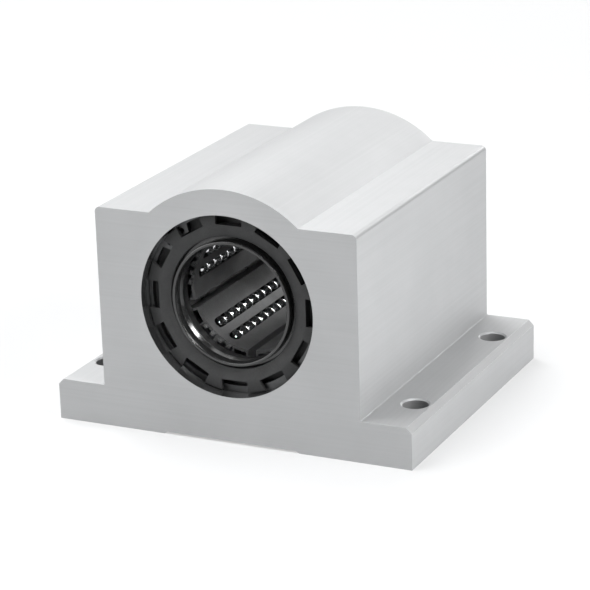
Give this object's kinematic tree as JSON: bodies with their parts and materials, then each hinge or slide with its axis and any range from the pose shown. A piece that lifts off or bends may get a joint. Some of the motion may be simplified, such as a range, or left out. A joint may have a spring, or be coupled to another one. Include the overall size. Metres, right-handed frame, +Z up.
{
  "type": "linear bearing pillow block",
  "caption": "Closed aluminium pillow block on a flanged base, with a self-aligning linear ball bushing, toothed black end seals, ball segments, rocking plates and ball rows inside.",
  "frame": {"origin": "middle of the block, on the plane of the base's underside", "axes": "+X across the flanges, +Y along the shaft from the front end to the rear, +Z up from the base"},
  "size_m": [0.0826, 0.0714, 0.0556],
  "materials": {
    "housing_aluminium": "satin, machined end faces with fine horizontal cutter lines",
    "ring_steel": "plain ground steel",
    "seal_plastic": "dark grey moulded plastic, satin",
    "wiper_rubber": "smooth black rubber",
    "segment_plastic": "dark grey moulded plastic, satin",
    "end_plastic": "black moulded plastic",
    "ball_steel": "polished bearing balls",
    "plate_steel": "ground hardened steel",
    "sleeve_steel": "ground hardened steel"
  },
  "bodies": {
    "housing": {"housing": "housing_aluminium", "seal_carrier_front": "seal_plastic", "seal_carrier_rear": "seal_plastic", "wiper_lip_front": "wiper_rubber", "wiper_lip_rear": "wiper_rubber", "retaining_ring_front": "ring_steel", "retaining_ring_rear": "ring_steel"},
    "sleeve": {"outer_ring": "sleeve_steel"},
    "cage": {"end_ring_front": "end_plastic", "end_ring_rear": "end_plastic", "ball_segment_01": "segment_plastic", "ball_segment_02": "segment_plastic", "ball_segment_03": "segment_plastic", "ball_segment_04": "segment_plastic", "ball_segment_05": "segment_plastic"},
    "plate_01": {"ball_plate_01": "plate_steel"},
    "plate_02": {"ball_plate_02": "plate_steel"},
    "plate_03": {"ball_plate_03": "plate_steel"},
    "plate_04": {"ball_plate_04": "plate_steel"},
    "plate_05": {"ball_plate_05": "plate_steel"},
    "load_balls_01": {"load_row_01": "ball_steel"},
    "load_balls_02": {"load_row_02": "ball_steel"},
    "load_balls_03": {"load_row_03": "ball_steel"},
    "load_balls_04": {"load_row_04": "ball_steel"},
    "load_balls_05": {"load_row_05": "ball_steel"},
    "load_balls_06": {"load_row_06": "ball_steel"},
    "load_balls_07": {"load_row_07": "ball_steel"},
    "load_balls_08": {"load_row_08": "ball_steel"},
    "load_balls_09": {"load_row_09": "ball_steel"},
    "load_balls_10": {"load_row_10": "ball_steel"},
    "return_balls_01": {"return_row_01": "ball_steel"},
    "return_balls_02": {"return_row_02": "ball_steel"},
    "return_balls_03": {"return_row_03": "ball_steel"},
    "return_balls_04": {"return_row_04": "ball_steel"},
    "return_balls_05": {"return_row_05": "ball_steel"},
    "return_balls_06": {"return_row_06": "ball_steel"},
    "return_balls_07": {"return_row_07": "ball_steel"},
    "return_balls_08": {"return_row_08": "ball_steel"},
    "return_balls_09": {"return_row_09": "ball_steel"},
    "return_balls_10": {"return_row_10": "ball_steel"}
  },
  "joints": [
    {"name": "bushing_yaw", "type": "hinge", "parent": "housing", "child": "sleeve", "pos_m": [0, 0, 0.03016], "axis": [0, 0, 1], "range_deg": [-0.5, 0.5]},
    {"name": "bushing_pitch", "type": "hinge", "parent": "sleeve", "child": "cage", "pos_m": [0, 0, 0.03016], "axis": [1, 0, 0], "range_deg": [-0.5, 0.5]},
    {"name": "plate_rock_01", "type": "hinge", "parent": "cage", "child": "plate_01", "pos_m": [-0.01049, 0, 0.01572], "axis": [0.809, 0, -0.5878], "range_deg": [-0.25, 0.25]},
    {"name": "plate_rock_02", "type": "hinge", "parent": "cage", "child": "plate_02", "pos_m": [0.01049, 0, 0.01572], "axis": [0.809, 0, 0.5878], "range_deg": [-0.25, 0.25]},
    {"name": "plate_rock_03", "type": "hinge", "parent": "cage", "child": "plate_03", "pos_m": [0.01698, 0, 0.03568], "axis": [-0.309, 0, 0.9511], "range_deg": [-0.25, 0.25]},
    {"name": "plate_rock_04", "type": "hinge", "parent": "cage", "child": "plate_04", "pos_m": [0, 0, 0.04801], "axis": [-1, 0, 0], "range_deg": [-0.25, 0.25]},
    {"name": "plate_rock_05", "type": "hinge", "parent": "cage", "child": "plate_05", "pos_m": [-0.01698, 0, 0.03568], "axis": [-0.309, 0, -0.9511], "range_deg": [-0.25, 0.25]},
    {"name": "load_run_01", "type": "slide", "parent": "cage", "child": "load_balls_01", "axis": [0, 1, 0], "range_m": [-0.0012, 0.0012]},
    {"name": "load_run_02", "type": "slide", "parent": "cage", "child": "load_balls_02", "axis": [0, 1, 0], "range_m": [-0.0012, 0.0012]},
    {"name": "load_run_03", "type": "slide", "parent": "cage", "child": "load_balls_03", "axis": [0, 1, 0], "range_m": [-0.0012, 0.0012]},
    {"name": "load_run_04", "type": "slide", "parent": "cage", "child": "load_balls_04", "axis": [0, 1, 0], "range_m": [-0.0012, 0.0012]},
    {"name": "load_run_05", "type": "slide", "parent": "cage", "child": "load_balls_05", "axis": [0, 1, 0], "range_m": [-0.0012, 0.0012]},
    {"name": "load_run_06", "type": "slide", "parent": "cage", "child": "load_balls_06", "axis": [0, 1, 0], "range_m": [-0.0012, 0.0012]},
    {"name": "load_run_07", "type": "slide", "parent": "cage", "child": "load_balls_07", "axis": [0, 1, 0], "range_m": [-0.0012, 0.0012]},
    {"name": "load_run_08", "type": "slide", "parent": "cage", "child": "load_balls_08", "axis": [0, 1, 0], "range_m": [-0.0012, 0.0012]},
    {"name": "load_run_09", "type": "slide", "parent": "cage", "child": "load_balls_09", "axis": [0, 1, 0], "range_m": [-0.0012, 0.0012]},
    {"name": "load_run_10", "type": "slide", "parent": "cage", "child": "load_balls_10", "axis": [0, 1, 0], "range_m": [-0.0012, 0.0012]},
    {"name": "return_run_01", "type": "slide", "parent": "cage", "child": "return_balls_01", "axis": [0, 1, 0], "range_m": [-0.0012, 0.0012]},
    {"name": "return_run_02", "type": "slide", "parent": "cage", "child": "return_balls_02", "axis": [0, 1, 0], "range_m": [-0.0012, 0.0012]},
    {"name": "return_run_03", "type": "slide", "parent": "cage", "child": "return_balls_03", "axis": [0, 1, 0], "range_m": [-0.0012, 0.0012]},
    {"name": "return_run_04", "type": "slide", "parent": "cage", "child": "return_balls_04", "axis": [0, 1, 0], "range_m": [-0.0012, 0.0012]},
    {"name": "return_run_05", "type": "slide", "parent": "cage", "child": "return_balls_05", "axis": [0, 1, 0], "range_m": [-0.0012, 0.0012]},
    {"name": "return_run_06", "type": "slide", "parent": "cage", "child": "return_balls_06", "axis": [0, 1, 0], "range_m": [-0.0012, 0.0012]},
    {"name": "return_run_07", "type": "slide", "parent": "cage", "child": "return_balls_07", "axis": [0, 1, 0], "range_m": [-0.0012, 0.0012]},
    {"name": "return_run_08", "type": "slide", "parent": "cage", "child": "return_balls_08", "axis": [0, 1, 0], "range_m": [-0.0012, 0.0012]},
    {"name": "return_run_09", "type": "slide", "parent": "cage", "child": "return_balls_09", "axis": [0, 1, 0], "range_m": [-0.0012, 0.0012]},
    {"name": "return_run_10", "type": "slide", "parent": "cage", "child": "return_balls_10", "axis": [0, 1, 0], "range_m": [-0.0012, 0.0012]}
  ],
  "couplings": [
    {"joint": "load_run_02", "follows": "load_run_01", "ratio": 1},
    {"joint": "load_run_03", "follows": "load_run_01", "ratio": 1},
    {"joint": "load_run_04", "follows": "load_run_01", "ratio": 1},
    {"joint": "load_run_05", "follows": "load_run_01", "ratio": 1},
    {"joint": "load_run_06", "follows": "load_run_01", "ratio": 1},
    {"joint": "load_run_07", "follows": "load_run_01", "ratio": 1},
    {"joint": "load_run_08", "follows": "load_run_01", "ratio": 1},
    {"joint": "load_run_09", "follows": "load_run_01", "ratio": 1},
    {"joint": "load_run_10", "follows": "load_run_01", "ratio": 1},
    {"joint": "return_run_01", "follows": "load_run_01", "ratio": -1},
    {"joint": "return_run_02", "follows": "load_run_01", "ratio": -1},
    {"joint": "return_run_03", "follows": "load_run_01", "ratio": -1},
    {"joint": "return_run_04", "follows": "load_run_01", "ratio": -1},
    {"joint": "return_run_05", "follows": "load_run_01", "ratio": -1},
    {"joint": "return_run_06", "follows": "load_run_01", "ratio": -1},
    {"joint": "return_run_07", "follows": "load_run_01", "ratio": -1},
    {"joint": "return_run_08", "follows": "load_run_01", "ratio": -1},
    {"joint": "return_run_09", "follows": "load_run_01", "ratio": -1},
    {"joint": "return_run_10", "follows": "load_run_01", "ratio": -1}
  ]
}
